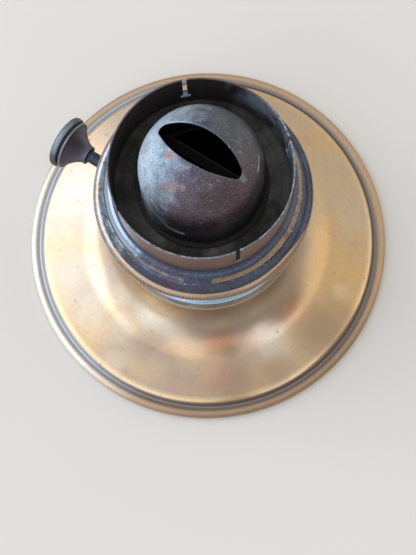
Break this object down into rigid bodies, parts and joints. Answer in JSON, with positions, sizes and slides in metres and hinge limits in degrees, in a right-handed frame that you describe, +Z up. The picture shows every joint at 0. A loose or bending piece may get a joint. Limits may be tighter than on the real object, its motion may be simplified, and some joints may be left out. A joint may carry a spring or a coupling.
{
  "type": "kerosene lamp",
  "caption": "Flat-wick kerosene lamp of aged brass: a bell-shaped font carries a screw-in burner with a slotted gallery ring, a flame dome and a thumb wheel that raises the wick.",
  "frame": {"origin": "centre of the circle on which the font stands, on the table", "axes": "+Z up along the burner's axis; the thumb wheel points along -X and the flat wick lies in the XZ plane"},
  "size_m": [0.127, 0.127, 0.1034],
  "materials": {
    "font_brass": "satin aged brass with dark grooves",
    "burner_brass": "dull unpolished brass",
    "copper_brown": "heat-browned brass with a worn edge",
    "dark_bronze": "dark oxidised brass with worn edges",
    "sooty_brass": "sooty, blue-grey heat-oxidised brass",
    "washer_leather": "oiled leather",
    "wick_cotton": "woven cotton, charred at the top"
  },
  "bodies": {
    "font": {"font_shell": "font_brass", "font_bottom": "font_brass", "font_collar": "font_brass"},
    "seal": {"collar_washer": "washer_leather"},
    "burner": {"burner_base": "burner_brass", "air_basket": "burner_brass", "draught_plate": "burner_brass", "vent_tube": "burner_brass", "wick_tube": "burner_brass", "spur_box": "burner_brass", "shaft_bush": "burner_brass"},
    "gallery": {"gallery_floor": "sooty_brass", "gallery_spigot": "burner_brass", "gallery_flange": "dark_bronze", "gallery_ring": "copper_brown", "flame_dome": "sooty_brass"},
    "raiser": {"raiser_shaft": "dark_bronze", "spur_wheel_1": "burner_brass", "spur_wheel_2": "burner_brass", "spur_wheel_3": "burner_brass", "spur_wheel_4": "burner_brass", "shaft_collars": "burner_brass", "wheel_hub": "dark_bronze", "wheel_cap": "dark_bronze"},
    "wick": {"wick": "wick_cotton"}
  },
  "joints": [
    {"name": "burner_rise", "type": "slide", "parent": "font", "child": "seal", "axis": [0, 0, 1], "range_m": [0, 0.006]},
    {"name": "burner_turn", "type": "hinge", "parent": "seal", "child": "burner", "pos_m": [0, 0, 0.0418], "axis": [0, 0, 1], "range_deg": [0, 1080]},
    {"name": "gallery_lift", "type": "slide", "parent": "burner", "child": "gallery", "axis": [0, 0, 1], "range_m": [0, 0.036]},
    {"name": "wheel_turn", "type": "hinge", "parent": "burner", "child": "raiser", "pos_m": [-0.025, -0.0055, 0.0485], "axis": [1, 0, 0], "range_deg": [-130, 50]},
    {"name": "wick_feed", "type": "slide", "parent": "burner", "child": "wick", "axis": [0, 0, 1], "range_m": [-0.01, 0.004]}
  ],
  "couplings": [
    {"joint": "burner_rise", "follows": "burner_turn", "m_per_rad": 0.00031831},
    {"joint": "wick_feed", "follows": "wheel_turn", "m_per_rad": 0.0044}
  ]
}
